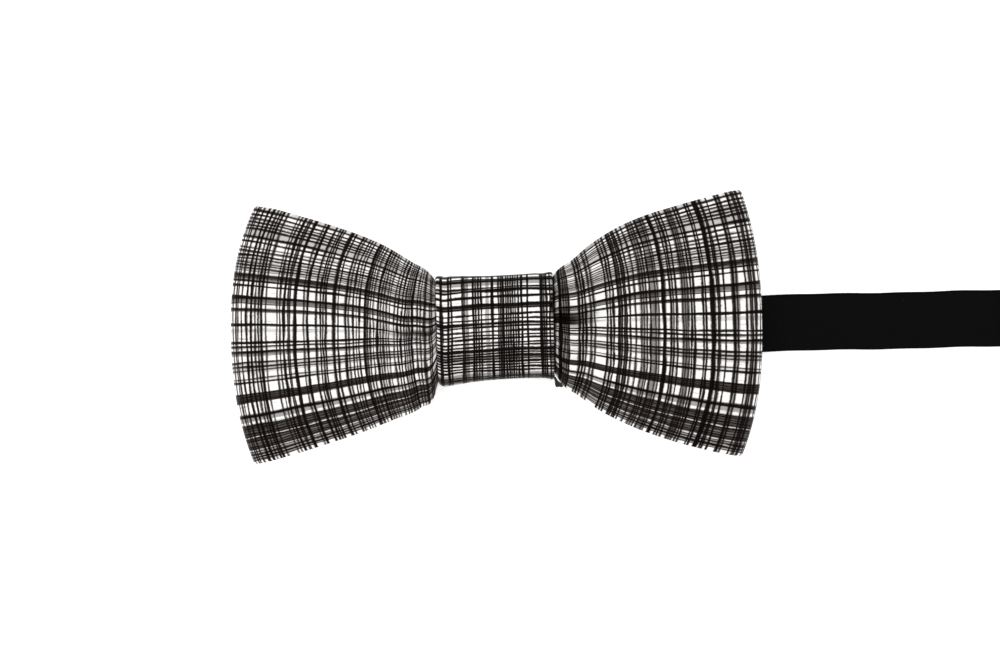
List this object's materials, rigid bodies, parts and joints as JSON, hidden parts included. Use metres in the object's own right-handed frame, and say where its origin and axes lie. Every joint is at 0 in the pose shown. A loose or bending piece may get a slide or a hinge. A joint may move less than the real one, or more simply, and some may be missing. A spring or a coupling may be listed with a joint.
{
  "type": "pre-tied bow tie",
  "caption": "Pre-tied bow tie of checked cotton with a square knot, on a flat black satin neck band with a sliding adjuster, a hook and an eye.",
  "frame": {"origin": "middle of the bow, on the surface it lies on face up", "axes": "+X along the bow towards the long end of the neck band, +Y the wearer's up, +Z out of the bow's face"},
  "size_m": [0.365, 0.0604, 0.0147],
  "materials": {
    "checked_cotton": "woven",
    "canvas": "woven",
    "black_satin": "satin",
    "black_thread": "matte",
    "black_metal": "painted"
  },
  "bodies": {
    "bow": {"bow_band": "checked_cotton", "bow_interlining": "canvas", "pinch_thread": "black_thread", "knot_wrap": "checked_cotton", "knot_seam_thread": "black_thread", "knot_interlining": "canvas", "thread_tail": "black_thread", "strap_inner_run": "black_satin", "eye_tack": "black_thread", "strap_long_run": "black_satin"},
    "slider": {"slider_frame": "black_metal", "strap_slider_hump": "black_satin", "strap_slider_loop": "black_satin", "slider_tack": "black_thread"},
    "band_end": {"strap_hook_loop": "black_satin", "strap_outer_run": "black_satin", "strap_return_run": "black_satin", "hook_tack": "black_thread"},
    "hook": {"hook": "black_metal"},
    "eye": {"eye": "black_metal"}
  },
  "joints": [
    {"name": "slider_slide", "type": "slide", "parent": "bow", "child": "slider", "axis": [1, 0, 0], "range_m": [-0.05, 0.19], "deforming": ["strap_long_run"]},
    {"name": "band_end_slide", "type": "slide", "parent": "slider", "child": "band_end", "axis": [1, 0, 0], "range_m": [-0.096, 0.026], "deforming": ["strap_outer_run", "strap_return_run"]},
    {"name": "hook_swing", "type": "hinge", "parent": "band_end", "child": "hook", "pos_m": [0.29, 0, 0.0016], "axis": [0, 1, 0], "range_deg": [-100, 100]},
    {"name": "eye_swing", "type": "hinge", "parent": "bow", "child": "eye", "pos_m": [-0.024, 0, 0.0016], "axis": [0, 1, 0], "range_deg": [-100, 5]}
  ],
  "couplings": [
    {"joint": "band_end_slide", "follows": "slider_slide", "ratio": -0.5}
  ]
}
